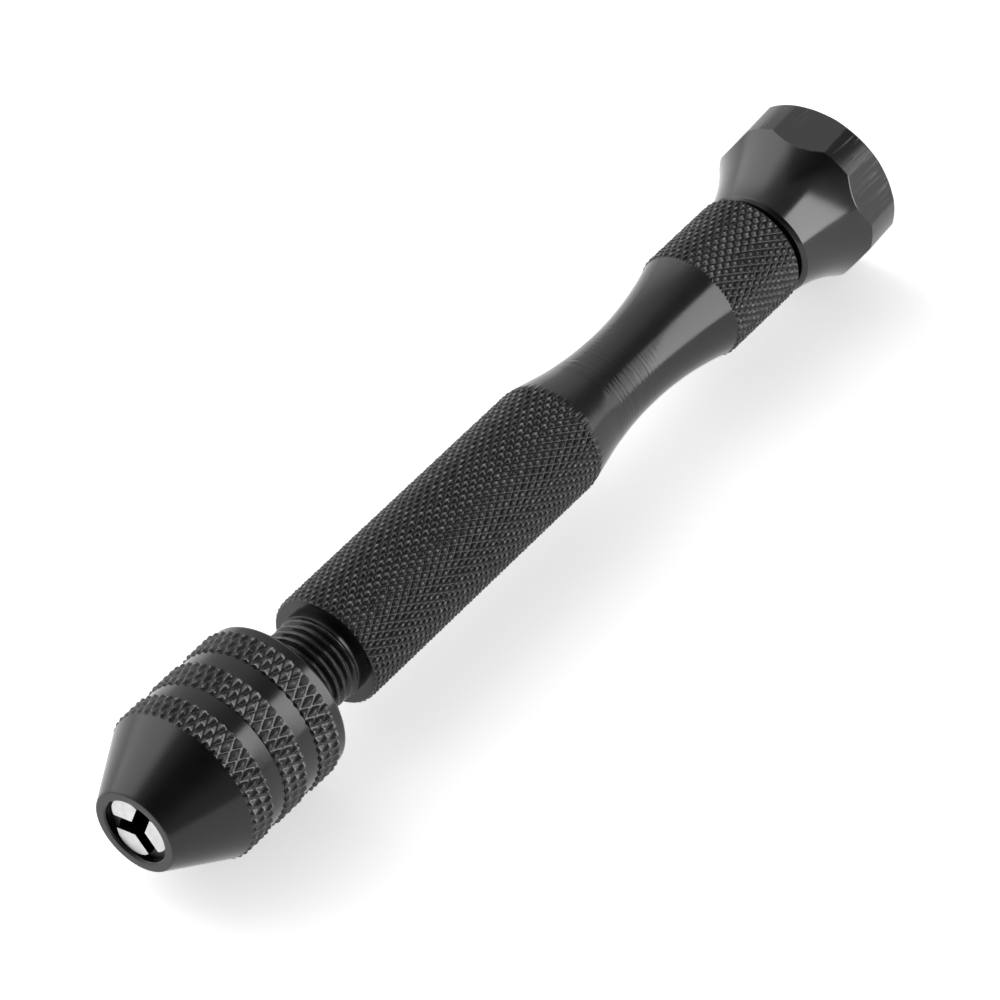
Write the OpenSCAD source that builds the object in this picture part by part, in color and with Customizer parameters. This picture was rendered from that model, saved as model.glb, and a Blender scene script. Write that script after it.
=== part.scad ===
// Precision hand drill (pin vise): a turned handle with a free-swivelling palm cap at the rear
// and a small three-jaw keyless chuck screwed on its front spigot.
// The tool lies on a flat surface along Y, nose towards -Y, resting on the chuck's knurl
// and on one flat of the cap. Inside place(), stations run along +Z from the nose face.

/* [Layout] */
// Overall length from nose face to cap rear face
tool_length = 118.5; // [118:0.5:119]
// Height of the tool's axis above the surface it lies on
axis_height = 9.25; // [9.25:0.05:9.5]

/* [Handle] */
// Radius of the knurled grip and of the rear ring
grip_r = 6.63; // [6.5:0.01:6.8]
// Smallest radius of the waist between grip and ring
waist_r = 4.77; // [4.6:0.01:5]
// Radius of the arc that shapes the waist
waist_arc_r = 45; // [44:0.5:48]
// Outside radius of the spigot's screw thread
spigot_r = 4.95; // [4.92:0.01:4.97]

/* [Chuck] */
// Radius over the chuck's knurled bands
band_r = 9.25; // [9.1:0.05:9.3]
// Radius in the grooves between the bands
groove_r = 8.9; // [8.85:0.05:8.95]
// Outside radius of the nose face
nose_r = 5; // [4.95:0.05:5.1]
// Radius of the opening in the nose
nose_bore_r = 3.8; // [3.75:0.05:3.85]

/* [Jaws] */
// Radius of each jaw's round rod
jaw_r = 2.2; // [2.1:0.05:2.2]
// Angle between a jaw and the chuck's axis, in degrees
jaw_tilt = 12; // [12:0.1:12.2]
// Distance from the chuck's axis to each jaw's gripping edge
jaw_opening = 1.0; // [0.8:0.1:1.2]
// Direction of the first jaw round the axis, in degrees
jaw_angle = 107.5; // [90:0.5:125]

/* [Cap] */
// Radius of the cap's round lands
cap_r = 9.75; // [9.6:0.05:9.8]
// Distance from the cap's axis to each of its six flats
flat_r = 9.2; // [9.1:0.05:9.25]
// Radius of the arc that shapes the cap's flare
flare_arc_r = 22; // [21:0.5:23]
// Lean of the loose cap at rest, in degrees
cap_lean = 3.8; // [0:0.1:3.8]

/* [Hidden] */
$fn = 96;
eps = 0.01;

// Colours
black_oxide = [0.12, 0.12, 0.13];
dark_steel = [0.2, 0.2, 0.21];
bright_steel = [0.75, 0.76, 0.78];
cage_brass = [0.75, 0.6, 0.3];

// Stations of the handle, from the nose face
spigot_z = 17.5;
collar_z = 29.6;
grip_z = 30.4;
taper_z = 68.4;
waist_z = 72.8;
waist_mid_z = 81.3;
ring_z = 93.3;
handle_end_z = 104.5;
edge = 0.3;

// Stations of the chuck
cone_end_z = 7.8;
groove1_z = 10.65;
band2_z = 12.8;
groove2_z = 16.1;
sleeve_end_z = 18.2;
band3_z = 18.3;
land_z = 21.4;
chuck_end_z = 22.85;
sleeve_in_r = 8;

// Jaws: rods in three holes that lean towards the nose
jaw_z = 0.45;
jaw_length = 12.6;
jaw_axis_r = 1.45;
jaw_clear = 0.05;
jaw_teeth = 5;
tooth_pitch = 1;
tooth_depth = 0.45;
function jaw_line(z) = jaw_axis_r + (z - jaw_z) * tan(jaw_tilt);
function jaw_reach(z) = jaw_line(z) + jaw_r / cos(jaw_tilt);

// Nut, bearing and flange behind the nose
nut_z = 9;
nut_end_z = 12.4;
nut_r = 7.2;
ball_n = 16;
ball_r = 0.45;
ball_ring_r = 7.3;
ball_z = 13.45;
race_in_r = 6.72;
race_out_r = 7.88;
race_h = 0.6;
flange_z = 14.5;
flange_r = 7.9;
snap_z = 16.4;
snap_h = 0.6;
snap_in_r = 7.3;
snap_out_r = 8.3;
body_rear_r = 7.4;
thread_bore_r = 5;
thread_bore_z = 17.3;

// Swivel: the cap turns and rocks on a shoulder screw
cap_front_z = 104.95;
front_break = 0.45;
rear_break = 0.55;
flare_end_z = 113.3;
flare_end_angle = 34;
pivot_z = 109;
web_front_z = 105.7;
web_rear_z = 110.5;
shoulder_r = 2;
screw_r = 1.5;
head_r = 3.6;
head_z = 111.5;
head_h = 2.2;
cap_well_r = 4.6;

module place() {
  translate([0, -tool_length / 2, axis_height]) rotate([-90, 0, 0]) children();
}

// Everything that leans with the cap, round the pivot
module lean() {
  place() translate([0, 0, pivot_z]) rotate([0, -cap_lean, 0]) translate([0, 0, -pivot_z]) children();
}

// A solid ring between two radii and two stations
module tube(r_out, r_in, z0, z1) {
  translate([0, 0, z0]) difference() {
    cylinder(r = r_out, h = z1 - z0);
    translate([0, 0, -eps]) cylinder(r = r_in, h = z1 - z0 + 2 * eps);
  }
}

// A turned solid from [radius, station] points
module turned(points) {
  rotate_extrude() polygon(points);
}

// Radius of the waist's arc at a station
function waist(z) =
  waist_r + waist_arc_r - sqrt(waist_arc_r * waist_arc_r - (z - waist_mid_z) * (z - waist_mid_z));

module handle() {
  color(black_oxide) place() difference() {
    turned(concat(
      [[0, spigot_z], [spigot_r - 0.6, spigot_z], [spigot_r, spigot_z + 0.6],
       [spigot_r, collar_z], [spigot_r + 0.15, collar_z], [spigot_r + 0.15, grip_z],
       [grip_r - edge, grip_z], [grip_r, grip_z + edge], [grip_r, taper_z], [grip_r - 0.12, taper_z]],
      [for (i = [0 : 16]) let (z = waist_z + i * (ring_z - waist_z) / 16) [waist(z), z]],
      [[grip_r, ring_z], [grip_r, handle_end_z - edge], [grip_r - edge, handle_end_z],
       [0, handle_end_z]]));
    // tapped hole for the pivot screw
    translate([0, 0, handle_end_z - 7.5]) cylinder(r = screw_r, h = 8);
    // centre drilling in the spigot's end
    translate([0, 0, spigot_z - eps]) cylinder(r1 = 1.2, r2 = 0, h = 1.2);
  }
}

// One round rod in jaw direction i, from the nose end to the given length
module jaw_rod(i, r, z0, length) {
  rotate([0, 0, jaw_angle + 120 * i]) translate([jaw_line(z0), 0, z0])
    rotate([0, jaw_tilt, 0]) cylinder(r = r, h = length);
}

module chuck_body() {
  color(dark_steel) place() difference() {
    turned([
      [0, 1], [4.3, 1], [4.55, 1.25], [4.55, 2.5], [6.8, 8], [6.8, 8.7], [5.2, 8.8], [5.2, 13.9],
      [race_in_r - 0.04, 13.9], [race_in_r - 0.04, flange_z], [flange_r, flange_z],
      [flange_r, snap_z - 0.02], [snap_in_r - 0.02, snap_z - 0.02],
      [snap_in_r - 0.02, snap_z + snap_h + 0.02], [flange_r, snap_z + snap_h + 0.02],
      [flange_r, sleeve_end_z - 0.1], [body_rear_r, sleeve_end_z - 0.1],
      [body_rear_r, chuck_end_z], [0, chuck_end_z]]);
    // through hole for a drill's shank, and the threaded socket for the handle
    translate([0, 0, 0.5]) cylinder(r = 1.8, h = 18);
    translate([0, 0, thread_bore_z]) cylinder(r = thread_bore_r, h = 6);
    translate([0, 0, chuck_end_z - 0.4]) cylinder(r1 = thread_bore_r, r2 = thread_bore_r + 0.45, h = 0.45);
    for (i = [0 : 2]) jaw_rod(i, jaw_r + jaw_clear, -1, 17.6);
  }
}

module front_sleeve() {
  color(black_oxide) place() turned([
    [nose_bore_r, 0.15], [nose_bore_r + 0.15, 0], [nose_r - 0.1, 0], [nose_r, 0.1],
    [band_r - 0.25, cone_end_z - 0.3], [band_r, cone_end_z], [band_r, groove1_z],
    [groove_r, groove1_z], [groove_r, band2_z], [band_r, band2_z], [band_r, groove2_z],
    [groove_r, groove2_z], [groove_r, sleeve_end_z], [sleeve_in_r, sleeve_end_z],
    [sleeve_in_r, snap_z + snap_h + 0.1], [snap_out_r + 0.1, snap_z + snap_h + 0.1],
    [snap_out_r + 0.1, snap_z - 0.1], [sleeve_in_r, snap_z - 0.1], [sleeve_in_r, 8.9],
    [6.9, 8.9], [6.9, 7.95], [4.62, 2.4], [4.62, 0.9], [nose_bore_r, 0.9]]);
}

module rear_sleeve() {
  color(black_oxide) place() turned([
    [body_rear_r, band3_z], [band_r, band3_z], [band_r, land_z], [groove_r, land_z],
    [groove_r, chuck_end_z - 0.35], [groove_r - 0.35, chuck_end_z], [body_rear_r, chuck_end_z]]);
}

// A jaw: a rod ground to a 120 degree edge, with half threads on its outer side
module jaw(i) {
  color(bright_steel) place() difference() {
    intersection() {
      jaw_rod(i, jaw_r, -1, jaw_length + 1.5);
      // end face square to the chuck's axis
      translate([-8, -8, jaw_z]) cube([16, 16, 20]);
    }
    // the two gripping faces, parallel to the chuck's axis
    rotate([0, 0, jaw_angle + 120 * i]) for (side = [-1, 1])
      translate([jaw_opening, 0, -1]) rotate([0, 0, side * 60])
        translate([-8, side > 0 ? 0 : -8, 0]) cube([16, 8, 12]);
    // half threads that the nut drives
    for (t = [0 : jaw_teeth - 1]) let (z = nut_z - 0.5 + t * tooth_pitch, r = jaw_reach(z))
      rotate_extrude() polygon([[r - tooth_depth, z], [r + 1, z - 0.85], [r + 1, z + 0.85]]);
  }
}

// Half of the split nut: a ring with a tapered bore that meets the jaws' half threads
module nut_half(side) {
  color(dark_steel) place() difference() {
    turned([[jaw_reach(nut_z) + 0.04, nut_z], [nut_r, nut_z], [nut_r, nut_end_z],
            [jaw_reach(nut_end_z) + 0.04, nut_end_z]]);
    rotate([0, 0, side * 90]) translate([-10, -0.04, nut_z - 1]) cube([20, 10, 6]);
  }
}

module nut_ring() {
  color(bright_steel) place() tube(sleeve_in_r, nut_r, nut_z, nut_end_z);
}

// A bearing race with a shallow round groove for the balls
module race(z0) {
  place() difference() {
    tube(race_out_r, race_in_r, z0, z0 + race_h);
    rotate_extrude() translate([ball_ring_r, ball_z]) circle(r = ball_r + 0.02, $fn = 48);
  }
}

module race_front() {
  color(bright_steel) race(nut_end_z + 0.02);
}

module race_rear() {
  color(bright_steel) race(flange_z - 0.02 - race_h);
}

module bearing_balls() {
  color(bright_steel) place() for (i = [0 : ball_n - 1])
    rotate([0, 0, i * 360 / ball_n]) translate([ball_ring_r, 0, ball_z]) sphere(r = ball_r, $fn = 48);
}

module ball_cage() {
  color(cage_brass) place() difference() {
    tube(race_out_r + 0.04, race_in_r - 0.1, ball_z - 0.17, ball_z + 0.17);
    for (i = [0 : ball_n - 1]) rotate([0, 0, i * 360 / ball_n])
      translate([ball_ring_r, 0, ball_z - 1]) cylinder(r = ball_r + 0.03, h = 2, $fn = 48);
  }
}

// Open spring ring that keeps the front sleeve on the body
module snap_ring() {
  color(bright_steel) place() difference() {
    tube(snap_out_r, snap_in_r, snap_z, snap_z + snap_h);
    translate([0, -1.2, snap_z - 1]) cube([10, 2.4, 3]);
  }
}

module thrust_washer() {
  color(bright_steel) place() tube(3.9, shoulder_r + 0.05, handle_end_z, handle_end_z + 0.8);
}

module pivot_screw() {
  color(bright_steel) place() difference() {
    union() {
      translate([0, 0, handle_end_z - 6.5]) cylinder(r1 = screw_r - 0.4, r2 = screw_r - 0.02, h = 0.5);
      translate([0, 0, handle_end_z - 6]) cylinder(r = screw_r - 0.02, h = 6.5);
      translate([0, 0, handle_end_z]) cylinder(r = shoulder_r, h = head_z - handle_end_z + 0.5);
      turned([[0, head_z], [head_r, head_z], [head_r, head_z + head_h - 0.3],
              [head_r - 0.3, head_z + head_h], [0, head_z + head_h]]);
    }
    // hexagon socket for a 2.5 mm key
    translate([0, 0, head_z + head_h - 1.4]) cylinder(r = 1.25 / cos(30), h = 2, $fn = 6);
  }
}

module head_washer() {
  color(bright_steel) lean() tube(3.9, shoulder_r + 0.2, web_rear_z + 0.02, web_rear_z + 0.55);
}

// Radius of the cap's flare at a station
function flare(z) = let (a = asin(sin(flare_end_angle) - (flare_end_z - z) / flare_arc_r))
  cap_r - flare_arc_r * (cos(a) - cos(flare_end_angle));

module swivel_cap() {
  color(black_oxide) lean() difference() {
    intersection() {
      turned(concat(
        [[0, cap_front_z], [flare(cap_front_z) - 0.35, cap_front_z]],
        [for (i = [0 : 12]) let (z = flare_end_z - (12 - i) * (flare_end_z - cap_front_z - front_break) / 12)
          [flare(z), z]],
        [[cap_r, flare_end_z], [cap_r, tool_length - rear_break], [cap_r - rear_break, tool_length],
         [0, tool_length]]));
      translate([0, 0, cap_front_z - 1]) cylinder(r = flat_r / cos(30), h = 15, $fn = 6);
    }
    // running bore, washer recess in the neck and well for the screw's head
    translate([0, 0, cap_front_z - 1]) cylinder(r = shoulder_r + 0.3, h = 8);
    translate([0, 0, cap_front_z - 1]) cylinder(r = 4.5, h = web_front_z - cap_front_z + 1);
    translate([0, 0, web_rear_z]) cylinder(r = cap_well_r, h = 12);
    translate([0, 0, tool_length - 0.5]) cylinder(r1 = cap_well_r, r2 = cap_well_r + 0.55, h = 0.55);
  }
}

handle();
chuck_body();
front_sleeve();
rear_sleeve();
jaw(0);  // jaw_1
jaw(1);  // jaw_2
jaw(2);  // jaw_3
nut_half(1);  // nut_half_1
nut_half(-1);  // nut_half_2
nut_ring();
race_front();
race_rear();
bearing_balls();
ball_cage();
snap_ring();
thrust_washer();
pivot_screw();
head_washer();
swivel_cap();
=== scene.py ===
import math

import bpy
import numpy as np
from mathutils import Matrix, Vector


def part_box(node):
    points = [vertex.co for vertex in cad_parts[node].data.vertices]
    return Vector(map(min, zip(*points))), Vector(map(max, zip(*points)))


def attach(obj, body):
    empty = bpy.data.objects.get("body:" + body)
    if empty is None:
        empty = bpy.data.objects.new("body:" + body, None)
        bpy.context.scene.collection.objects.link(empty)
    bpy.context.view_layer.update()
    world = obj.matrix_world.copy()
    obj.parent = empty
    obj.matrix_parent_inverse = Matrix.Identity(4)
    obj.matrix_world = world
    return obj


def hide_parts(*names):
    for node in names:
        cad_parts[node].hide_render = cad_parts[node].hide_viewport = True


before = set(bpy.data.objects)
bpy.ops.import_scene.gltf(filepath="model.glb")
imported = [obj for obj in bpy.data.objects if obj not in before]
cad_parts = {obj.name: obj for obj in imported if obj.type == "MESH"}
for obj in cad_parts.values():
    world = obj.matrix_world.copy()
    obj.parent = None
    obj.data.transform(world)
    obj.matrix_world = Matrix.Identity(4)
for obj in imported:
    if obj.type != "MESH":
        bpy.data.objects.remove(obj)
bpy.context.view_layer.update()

# ---------------------------------------------------------------------------
# Places. A station is a distance along the tool's axis from the nose face, and
# all lengths are in mm unless they say m.
# ---------------------------------------------------------------------------
MM = 0.001
sleeve_low, sleeve_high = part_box("front_sleeve")
handle_low, handle_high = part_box("handle")
AXIS_Z = (sleeve_low.z + sleeve_high.z) / 2     # m
NOSE_Y = sleeve_low.y                           # m


def station(y_m):
    return (y_m - NOSE_Y) / MM


def along_y(s):
    """The place in m along Y of a station."""
    return NOSE_Y + s * MM


TOOL_LENGTH = 118.5

# Handle
HANDLE_TIP, HANDLE_END = station(handle_low.y), station(handle_high.y)
GRIP_R = (handle_high.z - handle_low.z) / 2 / MM
GRIP_BREAK = 0.3
THREAD_R, THREAD_PITCH, THREAD_DEPTH, THREAD_LEAD_IN = 4.95, 1.0, 0.55, 0.6
COLLAR, COLLAR_R = 29.6, THREAD_R + 0.15
GRIP_START, GRIP_END = 30.4, 68.4
WAIST_START, WAIST_MID, WAIST_R, WAIST_ARC = 72.8, 81.3, 4.77, 45.0
RING_START = 93.3
SCREW_HOLE_R, SCREW_HOLE_DEPTH = 1.55, 7.5
AXIS_R = 0.05                                   # radius at which the solid ends close

# Chuck
BAND_R = (sleeve_high.z - sleeve_low.z) / 2 / MM
GROOVE_R = 8.9
SLEEVE_END = station(sleeve_high.y)
REAR_SLEEVE = [station(corner.y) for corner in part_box("rear_sleeve")]
NOSE_R, NOSE_BORE, NOSE_LIP = 5.0, 3.8, 0.9
CONE_END = 7.8
BANDS = [(6.4, 10.65), (12.8, 16.1)]            # the first starts on the cone, where the knurl runs out
GROOVES = [(10.65, 12.8), (16.1, SLEEVE_END)]
BAND3_END = 21.4
LIP = 0.09                                      # groove floor in front of the rear sleeve's band
BODY_R = 7.4
SLEEVE_BORE_R, NUT_SHOULDER = 8.0, 8.9
RING_GROOVE, RING_GROOVE_R = (16.3, 17.1), 8.4
INNER_CONE = [(7.95, 6.9), (2.4, 4.62)]         # (station, radius) of its wide and narrow ends

# Cap: it leans about a pivot on the tool's axis
CAP_LEAN, PIVOT = math.radians(3.8), 109.0
CAP_FRONT, FLARE_END = 104.95, 113.3
FRONT_BREAK, REAR_BREAK, WELL_BREAK = 0.45, 0.55, 0.5
CAP_R, FLAT_R = 9.75, 9.2
FLARE_ARC, FLARE_ANGLE = 22.0, math.radians(34)
WEB_FRONT, WEB_REAR = 105.7, 110.5
WELL_R, BORE_R, RECESS_R = 4.6, 2.3, 4.5
FLATS = 6
FLAT_EDGE = 0.05                                # how softly a flat meets the round

# Knurls: teeth round the part, turns of the pattern per mm along it, depth, share of the depth that is
# cut away flat, and how soft the tips are
GRIP_KNURL = dict(teeth=45, per_mm=0.64, depth=0.27, floor=0.06, tip=0.18)
BAND_KNURL = dict(teeth=49, per_mm=0.38, depth=0.30, floor=0.16, tip=0.05)
CUT_NORM = 8                                    # how square the corners of the diamonds are
# on the knurls, the part narrowed to the crests also takes a painted glint
KNURL_WEAR_AND_GLINT, THREAD_WEAR = 5, 4                  # powers that narrow the worn part to the crests
THREAD_CREST, THREAD_FLANK = 0.13, 0.70         # shares of half a pitch

# Mesh: points round each piece, and spacing along its outline
HANDLE_COLUMNS, SLEEVE_COLUMNS, CAP_COLUMNS = 540, 588, 720
THREAD_STEP, KNURL_STEP, CAP_STEP = 0.085, 0.11, 0.1
HANDLE_PLAIN_STEP, CONE_STEP, FLARE_STEP = 0.6, 0.3, 0.2
FILLET_STEPS, FILLET_SHARE = 3, 0.45            # share of an edge that one corner may take


# ---------------------------------------------------------------------------
# Mesh tools
# ---------------------------------------------------------------------------
def fillet(points):
    """Rounds an outline of (station, radius, corner size) points."""
    out = []
    last = len(points) - 1
    for i, (s, r, corner) in enumerate(points):
        here = np.array([s, r])
        if corner <= 0 or i in (0, last):
            out.append(here)
            continue
        before = np.array(points[i - 1][:2]) - here
        after = np.array(points[i + 1][:2]) - here
        long_before, long_after = np.linalg.norm(before), np.linalg.norm(after)
        cut = min(corner, FILLET_SHARE * long_before, FILLET_SHARE * long_after)
        a = here + before / long_before * cut
        b = here + after / long_after * cut
        for k in range(FILLET_STEPS + 1):
            t = k / FILLET_STEPS
            out.append((1 - t) ** 2 * a + 2 * t * (1 - t) * here + t * t * b)
    return np.array(out)


def refine(line, step):
    """Adds points so that no stretch of the outline is longer than step(station)."""
    out = [line[0]]
    for a, b in zip(line[:-1], line[1:]):
        gap = np.linalg.norm(b - a)
        n = max(1, int(math.ceil(gap / step((a[0] + b[0]) / 2))))
        out += [a + (b - a) * (k + 1) / n for k in range(n)]
    return np.array(out)


def grid_mesh(name, xyz, wrap_rows):
    """A closed skin over rings of points in mm: xyz is (rings, points round, 3). The rings close on
    each other if wrap_rows is true, and otherwise a face closes each end."""
    rows, cols = xyz.shape[:2]
    i, j = np.meshgrid(np.arange(rows if wrap_rows else rows - 1), np.arange(cols), indexing="ij")
    i2, j2 = (i + 1) % rows, (j + 1) % cols
    corners = [i * cols + j, i2 * cols + j, i2 * cols + j2, i * cols + j2]
    quads = np.stack(corners, -1).reshape(-1, 4)
    ends = [] if wrap_rows else [np.arange(cols), ((rows - 1) * cols + np.arange(cols))[::-1]]
    loops = np.concatenate([quads.ravel()] + ends).astype(np.int32)
    end_starts = len(quads) * 4 + np.arange(len(ends)) * cols
    starts = np.concatenate([np.arange(len(quads)) * 4, end_starts]).astype(np.int32)
    mesh = bpy.data.meshes.new(name)
    mesh.vertices.add(rows * cols)
    mesh.vertices.foreach_set("co", (xyz * MM).astype(np.float32).ravel())
    mesh.loops.add(len(loops))
    mesh.loops.foreach_set("vertex_index", loops)
    mesh.polygons.add(len(starts))
    mesh.polygons.foreach_set("loop_start", starts)
    mesh.polygons.foreach_set("use_smooth", np.ones(len(starts), bool))
    mesh.update(calc_edges=True)
    mesh.validate()
    return mesh


def link_object(name, data):
    thing = bpy.data.objects.new(name, data)
    bpy.context.scene.collection.objects.link(thing)
    return thing


def knurl_height(s, phi, spec):
    """Height of a diamond knurl, from 0 in the cuts to 1 on the softened tips."""
    turn = spec["teeth"] * phi / (2 * math.pi)
    along = s * spec["per_mm"]
    left, right = [np.abs(2 * ((turn + sign * along) % 1.0) - 1) for sign in (1, -1)]
    away = (left**CUT_NORM + right**CUT_NORM) ** (1 / CUT_NORM)
    tip = spec["tip"]
    height = 1 - (np.sqrt(away**2 + tip**2) - tip) / (math.sqrt(1 + tip**2) - tip)
    return np.clip((height - spec["floor"]) / (1 - spec["floor"]), 0, 1)


def cut_knurl(s, phi, base, radius, wear_and_glint, zone):
    """Cuts a (start, end, top radius, knurl) zone. Returns radii, the tips' mask for wear and painted
    glint, and which points were cut.
    """
    start, end, top_r, spec = zone
    pad, reach, near_top, near_end, under = 0.01, 0.4, 0.02, 0.02, 0.05
    height = knurl_height(s, phi, spec)
    cut = top_r - spec["depth"] * (1 - height)
    inside = (s > start - pad) & (s < end + pad) & (base > top_r - spec["depth"] - reach)
    touched = inside & (cut < radius + 1e-9)
    # the knurl tips' mask: the knurl finishes paint wear and a painted glint there
    wear_and_glint = np.where(inside & (base >= top_r - near_top), height**KNURL_WEAR_AND_GLINT, wear_and_glint)
    radius = np.where(touched, cut, radius)
    # on a square shoulder the points close up evenly under the cut, so that none coincide
    low = top_r - spec["depth"] - under
    at_end = (np.abs(s - start) < near_end) | (np.abs(s - end) < near_end)
    squeezed = low + (base - low) * (cut - low) / (top_r - low)
    return np.where(at_end & (base > low), squeezed, radius), wear_and_glint, touched


def cut_thread(s, phi, base, radius, wear_and_glint, thread):
    """Cuts a right-handed (start, end, top radius, pitch, depth) thread."""
    start, end, top_r, pitch, depth = thread
    near_top = 0.01
    wave = (s / pitch + phi / (2 * math.pi)) % 1.0
    profile = np.clip((np.abs(2 * wave - 1) - THREAD_CREST) / THREAD_FLANK, 0, 1)
    inside = (s > start) & (s < end) & (base > top_r - near_top)
    wear_and_glint = np.where(inside, (1 - profile) ** THREAD_WEAR, wear_and_glint)
    return np.where(inside, np.minimum(radius, top_r - depth * profile), radius), wear_and_glint


def cut_flats(phi, radius, wear_and_glint):
    """Mills the cap's flats, with a slightly broken edge where they meet the round."""
    rim_depth, edge_wear = 0.6, 0.5
    part = 2 * math.pi / FLATS
    off = (phi - math.pi / 2 + part / 2) % part - part / 2
    flat = FLAT_R / np.cos(off)
    blend = np.clip(0.5 + 0.5 * (flat - radius) / FLAT_EDGE, 0, 1)
    lower = radius * blend + flat * (1 - blend) - FLAT_EDGE * blend * (1 - blend)
    outer = radius > FLAT_R - rim_depth
    edge = np.exp(-(((flat - radius) / FLAT_EDGE) ** 2)) * outer
    return np.where(outer, np.minimum(lower, radius), radius), np.maximum(wear_and_glint, edge_wear * edge)


def revolve(name, outline, columns, zones=(), thread=None, flats=False, solid=False, lean=0.0):
    """Turns an outline of (station, radius) rows round the tool's axis, and cuts knurls, a thread
    or flats in it. The outline is a loop, or for a solid piece it runs from end to end. A mask is
    stored on the points, which the finishes use for wear and, on the knurl tips, for a painted glint: 1
    on tips and crests, 0 in the cuts."""
    angles = np.arange(columns) * 2 * math.pi / columns
    s = np.repeat(outline[:, :1], columns, 1)
    base = np.repeat(outline[:, 1:2], columns, 1)
    phi = np.repeat(angles[None], len(outline), 0)
    radius, wear_and_glint = base.copy(), np.zeros_like(base)
    knurled = np.zeros(base.shape, bool)
    for zone in zones:
        radius, wear_and_glint, touched = cut_knurl(s, phi, base, radius, wear_and_glint, zone)
        knurled |= touched
    if thread:
        radius, wear_and_glint = cut_thread(s, phi, base, radius, wear_and_glint, thread)
    if flats:
        radius, wear_and_glint = cut_flats(phi, radius, wear_and_glint)
    x, y, z = radius * np.cos(phi), s, radius * np.sin(phi)
    if lean:
        c, d = math.cos(lean), math.sin(lean)
        x, y = x * c - (y - PIVOT) * d, x * d + (y - PIVOT) * c + PIVOT
    mesh = grid_mesh(name, np.stack([x, y + NOSE_Y / MM, z + AXIS_Z / MM], -1), not solid)
    values = mesh.attributes.new("wear_and_glint", "FLOAT", "POINT")
    values.data.foreach_set("value", wear_and_glint.astype(np.float32).ravel())
    if zones:
        mark_knurl(mesh, knurled)
    return link_object(name, mesh)


def mark_knurl(mesh, knurled):
    """Gives the knurled faces the piece's second material."""
    corners = np.zeros(len(mesh.loops), np.int32)
    mesh.loops.foreach_get("vertex_index", corners)
    starts = np.zeros(len(mesh.polygons), np.int32)
    mesh.polygons.foreach_get("loop_start", starts)
    first = knurled.ravel()[corners[starts]]
    mesh.polygons.foreach_set("material_index", first.astype(np.int32))


def is_inside_out(mesh):
    """True if the faces point inwards, from the sign of the enclosed volume."""
    places = np.zeros(len(mesh.vertices) * 3)
    mesh.vertices.foreach_get("co", places)
    places = places.reshape(-1, 3)
    places = places - places.mean(0)
    mesh.calc_loop_triangles()
    tri = np.zeros(len(mesh.loop_triangles) * 3, np.int32)
    mesh.loop_triangles.foreach_get("vertices", tri)
    a, b, c = (places[tri[k::3]] for k in range(3))
    return np.einsum("ij,ij->i", a, np.cross(b, c)).sum() < 0


def finish_piece(piece, body, materials, node, sharp=38):
    """Turns the faces outwards, puts the piece on its body, gives it its materials and hides the CAD
    node that it stands for. Edges over the angle sharp, in degrees, stay sharp."""
    mesh = piece.data
    if is_inside_out(mesh):
        mesh.flip_normals()
    mesh.set_sharp_from_angle(angle=math.radians(sharp))
    for material in materials:
        mesh.materials.append(material)
    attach(piece, body)
    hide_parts(node)


# ---------------------------------------------------------------------------
# Materials. Noise scales are in features per m.
# ---------------------------------------------------------------------------
class Nodes:
    """Short calls that build the nodes of a material or of the world."""

    def __init__(self, tree):
        self.tree = tree
        self.coords = self.add("ShaderNodeTexCoord").outputs

    def add(self, kind):
        return self.tree.nodes.new(kind)

    def feed(self, socket, value):
        """Links an output to a socket, or sets a number or a colour on it."""
        if isinstance(value, tuple):
            socket.default_value = (*value, 1)
        elif isinstance(value, (int, float)):
            socket.default_value = value
        else:
            self.tree.links.new(value, socket)

    def math(self, operation, a, b=0.0, clamp=False):
        node = self.add("ShaderNodeMath")
        node.operation, node.use_clamp = operation, clamp
        self.feed(node.inputs[0], a)
        self.feed(node.inputs[1], b)
        return node.outputs[0]

    def split(self, vector):
        node = self.add("ShaderNodeSeparateXYZ")
        self.feed(node.inputs[0], vector)
        return node.outputs

    def noise(self, scale, detail=3.0, roughness=0.55):
        """Noise with one scale, or with a scale for each of X, Y and Z."""
        vector = self.coords["Object"]
        if isinstance(scale, tuple):
            mapping = self.add("ShaderNodeMapping")
            mapping.inputs["Scale"].default_value = scale
            self.feed(mapping.inputs["Vector"], vector)
            vector, scale = mapping.outputs[0], 1.0
        node = self.add("ShaderNodeTexNoise")
        settings = {"Scale": scale, "Detail": detail, "Roughness": roughness, "Vector": vector}
        for key, value in settings.items():
            self.feed(node.inputs[key], value)
        return node.outputs["Fac"]

    def ramp(self, value, low, high, a=0.0, b=1.0, smooth=False):
        node = self.add("ShaderNodeMapRange")
        if smooth:
            node.interpolation_type = "SMOOTHSTEP"
        settings = {"Value": value, "From Min": low, "From Max": high, "To Min": a, "To Max": b}
        for key, number in settings.items():
            self.feed(node.inputs[key], number)
        return node.outputs["Result"]

    def mix(self, factor, a, b):
        """A colour between a and b."""
        node = self.add("ShaderNodeMix")
        node.data_type = "RGBA"
        color_a, color_b = 6, 7
        for key, value in ((0, factor), (color_a, a), (color_b, b)):
            self.feed(node.inputs[key], value)
        return node.outputs[2]

    # reads the tips' mask, where the finishes paint wear and, on the knurls, a painted glint
    def wear_and_glint(self):
        node = self.add("ShaderNodeAttribute")
        node.attribute_name = "wear_and_glint"
        return node.outputs["Fac"]

    def bump(self, shader, *layers):
        """Stacks (height, distance in m, strength) layers on the shader's normal."""
        normal = None
        for height, distance, strength in layers:
            node = self.add("ShaderNodeBump")
            self.feed(node.inputs["Distance"], distance)
            self.feed(node.inputs["Strength"], strength)
            self.feed(node.inputs["Height"], height)
            if normal is not None:
                self.feed(node.inputs["Normal"], normal)
            normal = node.outputs["Normal"]
        self.feed(shader.inputs["Normal"], normal)


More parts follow.
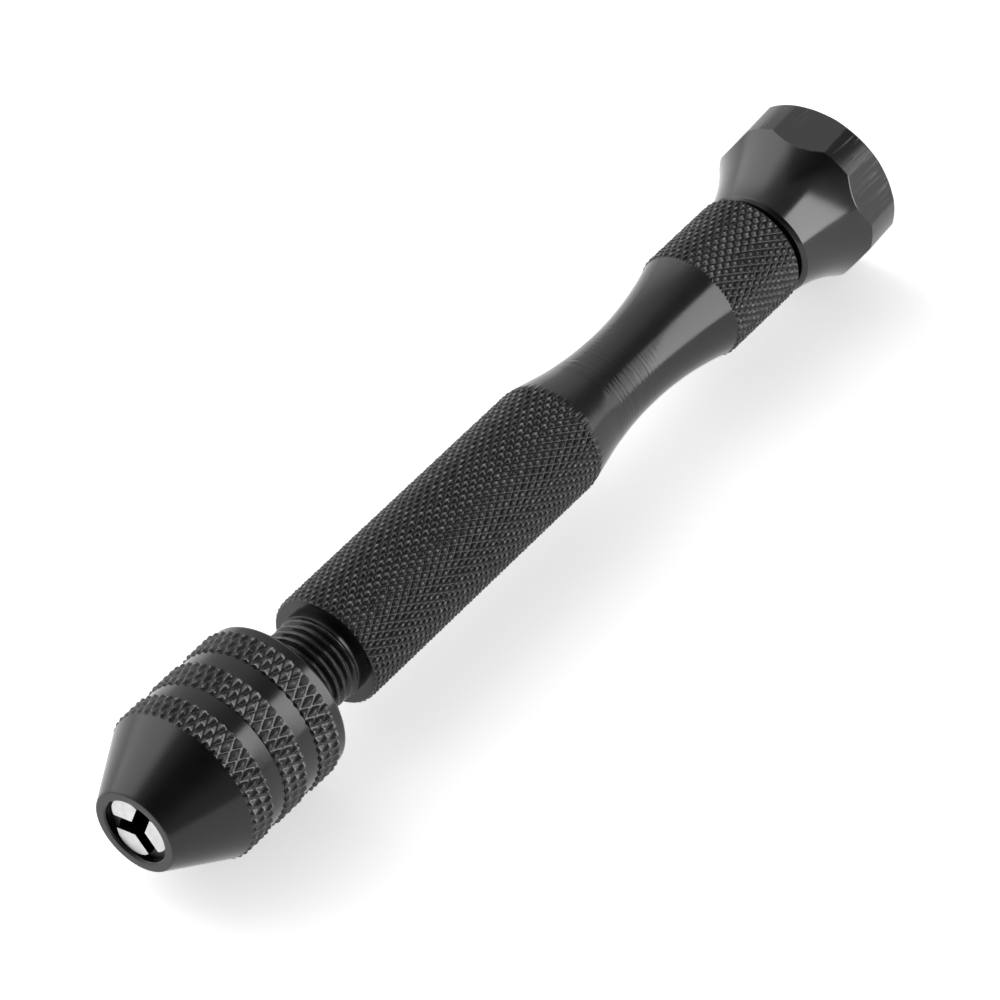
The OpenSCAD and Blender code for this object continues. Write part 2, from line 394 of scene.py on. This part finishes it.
def new_material(name):
    """A material, the calls that build its nodes, and its shader."""
    material = bpy.data.materials.new(name)
    material.use_nodes = True
    return material, Nodes(material.node_tree), material.node_tree.nodes["Principled BSDF"]


BLACK_LOW, BLACK_HIGH = (0.004, 0.004, 0.0043), (0.0075, 0.0075, 0.008)
# Colours of the tips and crests: the edge colour is wear on edges and crests; the band's and the grip's
# colours are wear together with a painted glint on the knurl tips
WORN_EDGE, BAND_TIP_WEAR_AND_GLINT, GRIP_TIP_WEAR_AND_GLINT = (0.07, 0.07, 0.073), (0.5, 0.5, 0.505), (0.6, 0.6, 0.61)
SCUFF = (0.085, 0.085, 0.088)
FINE, COARSE = 0.000012, 0.00007                # heights in m of fine and clear tool marks


def add_tool_marks(n, along, band, gloss, layers):
    """Clear turning marks on a (start, end) stretch in m along Y. Returns the gloss."""
    start, end = band
    near = n.math("MULTIPLY", n.ramp(along, start, start + 0.001), n.ramp(along, end, end - 0.004))
    marks = n.noise((60, 2400, 60), detail=2, roughness=0.6)
    layers.append((n.math("MULTIPLY", marks, near), COARSE, 0.8))
    return n.math("ADD", gloss, n.math("MULTIPLY", near, 0.02))


def add_scuffs(n, along, start, tint, gloss, layers):
    """Scuffs along Y on the sides behind start, in m. Returns the tint and the gloss."""
    facing = n.math("ABSOLUTE", n.split(n.coords["Normal"])["Y"])
    rim = n.math("MULTIPLY", n.ramp(facing, 0.6, 0.4), n.ramp(along, start, start + 0.0006))
    patches = n.ramp(n.noise(260, detail=2), 0.45, 0.62)
    lines = n.ramp(n.noise((2600, 90, 2600), detail=3), 0.54, 0.66)
    scuffs = n.math("MULTIPLY", n.math("MULTIPLY", rim, patches), lines)
    layers.append((n.math("MULTIPLY", lines, rim), FINE, 0.5))
    tint = n.mix(n.math("MULTIPLY", scuffs, 0.9), tint, SCUFF)
    return tint, n.math("ADD", gloss, n.math("MULTIPLY", scuffs, 0.2))


def black_oxide(name, ior, rough, turned=0.2, tip_wear_and_glint=WORN_EDGE, tool_marks=None, scuffed_from=None):
    """Semi-gloss black finish on steel: turning marks, faint mottling, worn tips and edges. On the
    knurls the tips get a much lighter colour: wear together with a painted glint.
    """
    material, n, shader = new_material(name)
    along = n.split(n.coords["Object"])["Y"]
    tint = n.mix(n.ramp(n.noise(420, detail=4), 0.35, 0.7), BLACK_LOW, BLACK_HIGH)
    patchy = n.ramp(n.noise(1100, detail=2), 0.38, 0.62)
    # tips and crests take a lighter colour: wear, and on the knurls a painted glint as well
    tips = n.math("MULTIPLY", n.wear_and_glint(), patchy, clamp=True)
    tint = n.mix(n.math("MULTIPLY", tips, 0.8), tint, tip_wear_and_glint)
    gloss = n.ramp(n.noise(160, detail=5, roughness=0.6), 0.3, 0.75, rough - 0.04, rough + 0.06)
    rings, grain = n.noise((40, 9000, 40), detail=2), n.noise(5200, detail=2)
    layers = [(rings, FINE, turned), (grain, FINE / 2, 0.18)]
    if tool_marks:
        gloss = add_tool_marks(n, along, tool_marks, gloss, layers)
    if scuffed_from:
        tint, gloss = add_scuffs(n, along, scuffed_from, tint, gloss, layers)
    n.feed(shader.inputs["Metallic"], 0.0)
    n.feed(shader.inputs["IOR"], ior)
    n.feed(shader.inputs["Base Color"], tint)
    n.feed(shader.inputs["Roughness"], gloss)
    n.bump(shader, *layers)
    return material


def ground_ends(name):
    """Jaw steel: the end face is ground bright, the sides are black."""
    material, n, shader = new_material(name)
    end = n.ramp(n.split(n.coords["Normal"])["Y"], -0.90, -0.97)
    scratched = n.ramp(n.noise(1500, detail=4), 0.3, 0.7)
    bright = n.mix(scratched, (0.60, 0.60, 0.605), (0.72, 0.72, 0.725))
    n.feed(shader.inputs["Metallic"], 1.0)
    n.feed(shader.inputs["Base Color"], n.mix(end, (0.012, 0.012, 0.0125), bright))
    n.feed(shader.inputs["Roughness"], n.ramp(n.noise(900, detail=3), 0.3, 0.7, 0.36, 0.5))
    n.bump(shader, (n.noise((9000, 500, 900), detail=2), 0.00001, 0.25))
    return material


def bare_steel(name, color, rough, marks=(2500, 2500, 2500), depth=0.2):
    """Bare or plated steel with fine marks, at a scale for each of X, Y and Z."""
    material, n, shader = new_material(name)
    dark = tuple(0.82 * value for value in color)
    gloss = n.ramp(n.noise(700, detail=3), 0.3, 0.7, rough - 0.06, rough + 0.08)
    n.feed(shader.inputs["Metallic"], 1.0)
    n.feed(shader.inputs["Base Color"], n.mix(n.ramp(n.noise(380, detail=4), 0.3, 0.7), dark, color))
    n.feed(shader.inputs["Roughness"], gloss)
    n.bump(shader, (n.noise(marks, detail=2), 0.00001, depth))
    return material


TOOL_MARKS = (along_y(73.6), along_y(84))
SCUFFED_FROM = along_y(113.2)

handle_black = black_oxide("black_oxide_handle", 1.47, 0.17, tool_marks=TOOL_MARKS)
# the two knurl finishes paint their tips much lighter: wear and a painted glint
knurl_black = black_oxide("black_oxide_knurl", 1.35, 0.22, tip_wear_and_glint=GRIP_TIP_WEAR_AND_GLINT)
sleeve_knurl_black = black_oxide("black_oxide_sleeve_knurl", 1.51, 0.2, tip_wear_and_glint=BAND_TIP_WEAR_AND_GLINT)
sleeve_black = black_oxide("black_oxide_sleeve", 1.47, 0.18, turned=0.12)
cap_black = black_oxide("black_oxide_cap", 1.57, 0.15, turned=0.05, scuffed_from=SCUFFED_FROM)
ground = ground_ends("ground_steel")
dark = bare_steel("dark_steel", (0.07, 0.07, 0.074), 0.42)
polished = bare_steel("bearing_steel", (0.68, 0.69, 0.71), 0.16, depth=0.05)
zinc = bare_steel("washer_steel", (0.5, 0.5, 0.51), 0.3, marks=(3000, 300, 3000))
blued = bare_steel("spring_steel", (0.16, 0.165, 0.19), 0.3)
screw = bare_steel("screw_steel", (0.045, 0.045, 0.047), 0.32)
brass = bare_steel("cage_brass", (0.62, 0.44, 0.17), 0.3)

NODE_MATERIALS = {
    "chuck_body": dark, "nut_half_1": dark, "nut_half_2": dark, "nut_ring": dark,
    "jaw_1": ground, "jaw_2": ground, "jaw_3": ground,
    "race_front": polished, "race_rear": polished, "bearing_balls": polished, "ball_cage": brass,
    "snap_ring": blued, "thrust_washer": zinc, "pivot_screw": screw, "head_washer": zinc,
}


# ---------------------------------------------------------------------------
# Pieces. An outline's points are (station, radius, corner size).
# ---------------------------------------------------------------------------
def waist_radius(s):
    return WAIST_R + WAIST_ARC - math.sqrt(WAIST_ARC**2 - (s - WAIST_MID) ** 2)


def handle_step(s):
    if HANDLE_TIP < s < COLLAR:
        return THREAD_STEP
    if GRIP_START < s < GRIP_END + 1 or s > RING_START - 0.5:
        return KNURL_STEP
    return HANDLE_PLAIN_STEP


def make_handle():
    spigot = [
        (HANDLE_TIP, AXIS_R, 0),
        (HANDLE_TIP, THREAD_R - THREAD_LEAD_IN, 0.05),
        (HANDLE_TIP + THREAD_LEAD_IN, THREAD_R, 0.1),
        (COLLAR - 0.15, THREAD_R, 0),
        (COLLAR - 0.1, COLLAR_R, 0.03),
        (COLLAR + 0.5, COLLAR_R, 0),
    ]
    grip = [
        (GRIP_START, COLLAR_R, 0),
        (GRIP_START, GRIP_R - GRIP_BREAK, 0.06),
        (GRIP_START + GRIP_BREAK, GRIP_R, 0.06),
        (GRIP_END, GRIP_R, 0.03),
        (GRIP_END + 0.1, GRIP_R - 0.12, 0),
    ]
    waist = [(s, waist_radius(s), 0) for s in np.linspace(WAIST_START, RING_START - 0.05, 60)]
    ring = [
        (RING_START + 0.15, GRIP_R, 0.03),
        (HANDLE_END - GRIP_BREAK, GRIP_R, 0.06),
        (HANDLE_END, GRIP_R - GRIP_BREAK, 0.06),
    ]
    screw_hole = [
        (HANDLE_END, SCREW_HOLE_R, 0.02),
        (HANDLE_END - (SCREW_HOLE_DEPTH - 0.1), SCREW_HOLE_R, 0),
        (HANDLE_END - SCREW_HOLE_DEPTH, AXIS_R, 0),
    ]
    outline = refine(fillet(spigot + grip + waist + ring + screw_hole), handle_step)
    zones = [
        (GRIP_START, GRIP_END + 0.3, GRIP_R, GRIP_KNURL),
        (RING_START - 0.3, HANDLE_END, GRIP_R, GRIP_KNURL),
    ]
    thread = (HANDLE_TIP, COLLAR - 0.2, THREAD_R, THREAD_PITCH, THREAD_DEPTH)
    piece = revolve("handle_turned", outline, HANDLE_COLUMNS, zones, thread, solid=True)
    materials = (handle_black, knurl_black)
    finish_piece(piece, "handle", materials, "handle", sharp=60)


def make_front_sleeve():
    nose = [
        (NOSE_LIP, NOSE_BORE, 0.03),
        (0.15, NOSE_BORE, 0.05),
        (0.0, NOSE_BORE + 0.15, 0.05),
        (0.0, NOSE_R - 0.1, 0.05),
        (0.1, NOSE_R, 0.05),
        (CONE_END - 0.3, BAND_R - 0.25, 0.2),
        (CONE_END, BAND_R, 0.1),
    ]
    bands = []
    for start, end in GROOVES:
        bands += [(start, BAND_R, 0.05), (start, GROOVE_R, 0.06)]
        if end < SLEEVE_END:
            bands += [(end, GROOVE_R, 0.06), (end, BAND_R, 0.05)]
    ring_front, ring_rear = RING_GROOVE
    (wide_end, wide_r), (narrow_end, narrow_r) = INNER_CONE
    inside = [
        (SLEEVE_END, GROOVE_R, 0),
        (SLEEVE_END, SLEEVE_BORE_R, 0.03),
        (ring_rear, SLEEVE_BORE_R, 0),
        (ring_rear, RING_GROOVE_R, 0),
        (ring_front, RING_GROOVE_R, 0),
        (ring_front, SLEEVE_BORE_R, 0),
        (NUT_SHOULDER, SLEEVE_BORE_R, 0),
        (NUT_SHOULDER, wide_r, 0),
        (wide_end, wide_r, 0),
        (narrow_end, narrow_r, 0),
        (NOSE_LIP, narrow_r, 0),
        (NOSE_LIP, NOSE_BORE, 0),
    ]
    cone_only = 6.5
    points = fillet(nose + bands + inside)
    outline = refine(points, lambda s: KNURL_STEP if s > cone_only else CONE_STEP)[:-1]
    zones = [(*band, BAND_R, BAND_KNURL) for band in BANDS]
    piece = revolve("front_sleeve_turned", outline, SLEEVE_COLUMNS, zones)
    materials = (sleeve_black, sleeve_knurl_black)
    finish_piece(piece, "sleeve", materials, "front_sleeve")


def make_rear_sleeve():
    front, rear = REAR_SLEEVE
    points = [
        (front - LIP, BODY_R, 0),
        (front - LIP, GROOVE_R, 0),
        (front, GROOVE_R, 0.06),
        (front, BAND_R, 0.05),
        (BAND3_END, BAND_R, 0.05),
        (BAND3_END, GROOVE_R, 0.05),
        (rear - 0.35, GROOVE_R, 0.15),
        (rear, GROOVE_R - 0.35, 0.1),
        (rear, BODY_R, 0.03),
        (front - LIP, BODY_R, 0),
    ]
    outline = refine(fillet(points), lambda s: KNURL_STEP)[:-1]
    zones = [(front, BAND3_END, BAND_R, BAND_KNURL)]
    piece = revolve("rear_sleeve_turned", outline, SLEEVE_COLUMNS, zones)
    materials = (sleeve_black, sleeve_knurl_black)
    finish_piece(piece, "chuck", materials, "rear_sleeve")


def flare_radius(s):
    """The cap's trumpet neck: an arc that meets the rim at FLARE_ANGLE."""
    angle = math.asin(math.sin(FLARE_ANGLE) - (FLARE_END - s) / FLARE_ARC)
    return CAP_R - FLARE_ARC * (math.cos(angle) - math.cos(FLARE_ANGLE))


def make_cap():
    front = [
        (CAP_FRONT, RECESS_R, 0.05),
        (CAP_FRONT, flare_radius(CAP_FRONT) - 0.35, 0.2),
    ]
    stations = np.linspace(CAP_FRONT + FRONT_BREAK, FLARE_END, 50)
    flare = [(s, flare_radius(s), 0.2) for s in stations]
    rim = [
        (FLARE_END + 0.02, CAP_R, 0),
        (TOOL_LENGTH - REAR_BREAK, CAP_R, 0.1),
        (TOOL_LENGTH, CAP_R - REAR_BREAK, 0.1),
    ]
    inside = [
        (TOOL_LENGTH, WELL_R + WELL_BREAK, 0.06),
        (TOOL_LENGTH - WELL_BREAK, WELL_R, 0.06),
        (WEB_REAR, WELL_R, 0.1),
        (WEB_REAR, BORE_R, 0.05),
        (WEB_FRONT, BORE_R, 0.05),
        (WEB_FRONT, RECESS_R, 0),
        (CAP_FRONT, RECESS_R, 0),
    ]
    wide_from = 109
    points = fillet(front + flare + rim + inside)
    outline = refine(points, lambda s: CAP_STEP if s > wide_from else FLARE_STEP)[:-1]
    piece = revolve("swivel_cap_turned", outline, CAP_COLUMNS, flats=True, lean=CAP_LEAN)
    finish_piece(piece, "cap", (cap_black,), "swivel_cap", sharp=30)


def dress_nodes():
    """Gives the CAD nodes that stay visible their materials."""
    for node, material in NODE_MATERIALS.items():
        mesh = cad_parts[node].data
        mesh.materials.clear()
        mesh.materials.append(material)


# ---------------------------------------------------------------------------
# Camera, floor and light, in m
# ---------------------------------------------------------------------------
CAMERA_AZIMUTH, CAMERA_HEIGHT = math.radians(37.16), math.radians(46.0)
CAMERA_DISTANCE, CAMERA_LENS, CAMERA_SENSOR = 0.67415, 234, 36
LOOK_AT = Vector((0.00121, along_y(TOOL_LENGTH / 2) - 0.001, AXIS_Z))
FLOOR_HALF, FLOOR_ALBEDO, FLOOR_GLOW = 4.0, 0.93, 0.6
# Two upright soft boxes on the tool's right: (low y, high y), (low z, high z), brightness
SOFT_BOX_X, SOFT_BOX_STEP = 0.134, 0.001
SOFT_BOXES = [
    ((0.038, 0.14), (0.018, 0.25), 5.4),
    ((0.141, 0.25), (0.018, 0.25), 2.0),
]
# The room's brightness by angle about the tool's axis: (degrees up from +X, level)
ROOM_BY_ANGLE = [(0, 0.5), (50, 0.32), (78, 0.32), (128, 0.9), (180, 0.8)]
ROOM_LEAST = 0.02
# Soft patches in the room, in degrees: azimuth from +X, half width, height, half height, soft edge,
# and then the brightness that they add
CARDS = [
    (190, 30, 32, 32, 12, 1.6),
    (270, 60, 62, 38, 10, -0.25),
]


def make_camera():
    data = bpy.data.cameras.new("camera")
    data.lens, data.sensor_width = CAMERA_LENS, CAMERA_SENSOR
    data.clip_start, data.clip_end = 0.05, 20
    camera = link_object("camera", data)
    level = math.cos(CAMERA_HEIGHT)
    x, y = math.sin(CAMERA_AZIMUTH) * level, -math.cos(CAMERA_AZIMUTH) * level
    back = Vector((x, y, math.sin(CAMERA_HEIGHT)))
    camera.location = LOOK_AT + back * CAMERA_DISTANCE
    camera.rotation_euler = back.to_track_quat("Z", "Y").to_euler()
    bpy.context.scene.camera = camera


def make_floor():
    mesh = bpy.data.meshes.new("floor")
    corners = [(x * FLOOR_HALF, y * FLOOR_HALF, 0) for x, y in ((-1, -1), (1, -1), (1, 1), (-1, 1))]
    mesh.from_pydata(corners, [], [(0, 1, 2, 3)])
    material, n, shader = new_material("floor")
    n.feed(shader.inputs["Base Color"], (FLOOR_ALBEDO,) * 3)
    n.feed(shader.inputs["Roughness"], 0.9)
    n.feed(shader.inputs["Specular IOR Level"], 0.0)
    n.feed(shader.inputs["Emission Color"], (1, 1, 1))
    n.feed(shader.inputs["Emission Strength"], FLOOR_GLOW)
    mesh.materials.append(material)
    link_object("floor", mesh)


def make_soft_boxes():
    """The brighter a box is, the further out it stands, so that they don't share a plane."""
    for (y0, y1), (z0, z1), level in SOFT_BOXES:
        light = bpy.data.lights.new("soft_box", "AREA")
        light.shape = "RECTANGLE"
        light.size, light.size_y = z1 - z0, y1 - y0
        light.energy = level * math.pi * light.size * light.size_y
        box = link_object("soft_box", light)
        box.location = (SOFT_BOX_X + SOFT_BOX_STEP * level, (y0 + y1) / 2, (z0 + z1) / 2)
        box.rotation_euler = (0, math.pi / 2, 0)
        box.visible_diffuse = False


def room_level(n, x, z):
    """The room's level by angle about Y, from ROOM_BY_ANGLE."""
    node = n.add("ShaderNodeFloatCurve")
    curve = node.mapping.curves[0]
    for k, (degrees, level) in enumerate(ROOM_BY_ANGLE):
        if k < 2:                               # a new curve has two points already
            curve.points[k].location = (degrees / 180, level)
        else:
            curve.points.new(degrees / 180, level)
    node.mapping.update()
    n.feed(node.inputs["Value"], n.math("DIVIDE", n.math("ARCTAN2", z, x), math.pi))
    return node.outputs["Value"]


def patch(n, azimuth, height, card):
    """One soft patch of the room."""
    az, half_az, el, half_el, soft = (math.radians(value) for value in card[:5])
    turn = n.math("SUBTRACT", azimuth, az)
    turn = n.math("ABSOLUTE", n.math("ARCTAN2", n.math("SINE", turn), n.math("COSINE", turn)))
    rise = n.math("ABSOLUTE", n.math("SUBTRACT", height, el))
    across = n.ramp(turn, half_az + soft, half_az - soft, smooth=True)
    upwards = n.ramp(rise, half_el + soft, half_el - soft, smooth=True)
    return n.math("MULTIPLY", n.math("MULTIPLY", across, upwards), card[5])


def make_room():
    world = bpy.data.worlds.new("room")
    bpy.context.scene.world = world
    world.use_nodes = True
    n = Nodes(world.node_tree)
    x, y, z = n.split(n.coords["Generated"])
    azimuth = n.math("ARCTAN2", y, x)
    height = n.math("ARCSINE", z)
    total = room_level(n, x, z)
    for card in CARDS:
        total = n.math("ADD", patch(n, azimuth, height, card), total)
    background = world.node_tree.nodes["Background"]
    n.feed(background.inputs["Strength"], n.math("MAXIMUM", total, ROOM_LEAST))
    n.feed(background.inputs["Color"], (1, 1, 1))


make_handle()
make_front_sleeve()
make_rear_sleeve()
make_cap()
dress_nodes()
make_camera()
make_floor()
make_soft_boxes()
make_room()
bpy.context.scene.view_settings.view_transform = "Standard"
